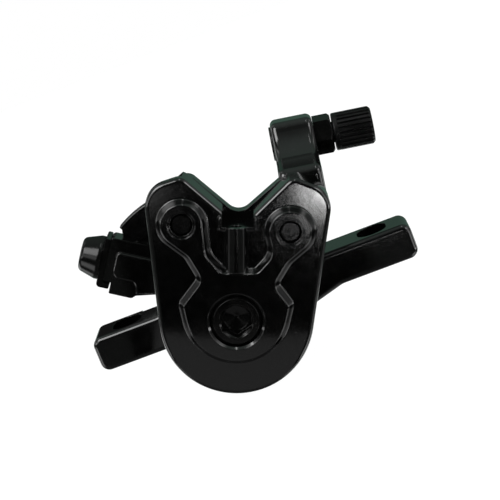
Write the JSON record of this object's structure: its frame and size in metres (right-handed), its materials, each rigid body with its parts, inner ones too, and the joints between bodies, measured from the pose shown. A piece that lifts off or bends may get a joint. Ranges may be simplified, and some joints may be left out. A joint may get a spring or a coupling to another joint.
{
  "type": "disc brake caliper",
  "caption": "Cable-pulled disc brake caliper for a small wheel: two-piece cast body, swinging lever, cable stop with barrel adjuster, screw-adjusted pad and slotted mounting ears.",
  "frame": {"origin": "midway between the two mounting slots, on the face that the ears rest on", "axes": "+X along the line through both slots, towards the cable stop; +Y along the rotor's axle, towards the lever; +Z along the mounting bolts, out of the seat"},
  "size_m": [0.0961, 0.0532, 0.0623],
  "materials": {
    "black_casting": "gloss",
    "black_steel": "satin",
    "zinc_steel": "satin",
    "polished_steel": "polished",
    "hard_steel": "ground",
    "magnet_nickel": "satin",
    "friction_compound": "rough",
    "plate_steel": "satin",
    "seal_rubber": "matt",
    "knob_plastic": "matt",
    "nylon": "matt"
  },
  "bodies": {
    "housing": {"inboard_housing": "black_casting", "outboard_housing": "black_casting", "body_bolts": "black_steel", "ramp_cup": "hard_steel", "spindle_seal": "seal_rubber", "return_spring": "zinc_steel", "adjuster_lock_screw": "black_steel", "adjuster_lock_plug": "nylon"},
    "outboard_pad": {"piston": "zinc_steel", "outboard_magnet": "magnet_nickel", "outboard_backing_plate": "plate_steel", "outboard_friction_pad": "friction_compound"},
    "lever": {"ramp_spindle": "hard_steel", "ramp_balls": "polished_steel", "lever_arm": "black_casting", "lever_washer": "zinc_steel", "lever_nut": "zinc_steel"},
    "inboard_pad": {"inboard_backing_plate": "plate_steel", "inboard_friction_pad": "friction_compound"},
    "pad_adjuster": {"pad_adjuster_screw": "black_steel", "inboard_magnet": "magnet_nickel"},
    "clamp": {"clamp_plate": "black_steel"},
    "pinch_bolt": {"pinch_bolt": "black_steel"},
    "barrel_adjuster": {"barrel_adjuster": "knob_plastic"},
    "lock_nut": {"lock_nut": "black_steel"}
  },
  "joints": [
    {"name": "piston_slide", "type": "slide", "parent": "housing", "child": "outboard_pad", "axis": [0, -1, 0], "range_m": [0, 0.0012]},
    {"name": "lever_pull", "type": "hinge", "parent": "outboard_pad", "child": "lever", "pos_m": [-0.00503, 0, 0.00575], "axis": [0, 1, 0], "range_deg": [0, 35], "stiffness_Nm_per_rad": 0.12, "springref_deg": -28.65, "deforming": ["return_spring"]},
    {"name": "inboard_pad_slide", "type": "slide", "parent": "housing", "child": "inboard_pad", "axis": [0, 1, 0], "range_m": [0, 0.001]},
    {"name": "adjuster_turn", "type": "hinge", "parent": "inboard_pad", "child": "pad_adjuster", "pos_m": [-0.00503, 0, 0.00575], "axis": [0, 1, 0], "range_deg": [0, 360]},
    {"name": "clamp_plate_slide", "type": "slide", "parent": "lever", "child": "clamp", "axis": [-0.831, 0, 0.5563], "range_m": [0, 0.001]},
    {"name": "pinch_bolt_turn", "type": "hinge", "parent": "clamp", "child": "pinch_bolt", "pos_m": [-0.04159, 0.01, 0.03023], "axis": [-0.831, 0, 0.5563], "range_deg": [0, 360]},
    {"name": "barrel_adjuster_turn", "type": "hinge", "parent": "housing", "child": "barrel_adjuster", "pos_m": [0.04087, 0.01, 0.03771], "axis": [0.9863, 0, -0.165], "range_deg": [0, 360]},
    {"name": "lock_nut_turn", "type": "hinge", "parent": "housing", "child": "lock_nut", "pos_m": [0.03397, 0.01, 0.03887], "axis": [0.9863, 0, -0.165], "range_deg": [0, 360]}
  ],
  "couplings": [
    {"joint": "piston_slide", "follows": "lever_pull", "m_per_rad": 0.0019644},
    {"joint": "adjuster_turn", "follows": "inboard_pad_slide", "rad_per_m": 6283.2},
    {"joint": "pinch_bolt_turn", "follows": "clamp_plate_slide", "rad_per_m": 6283.2}
  ]
}
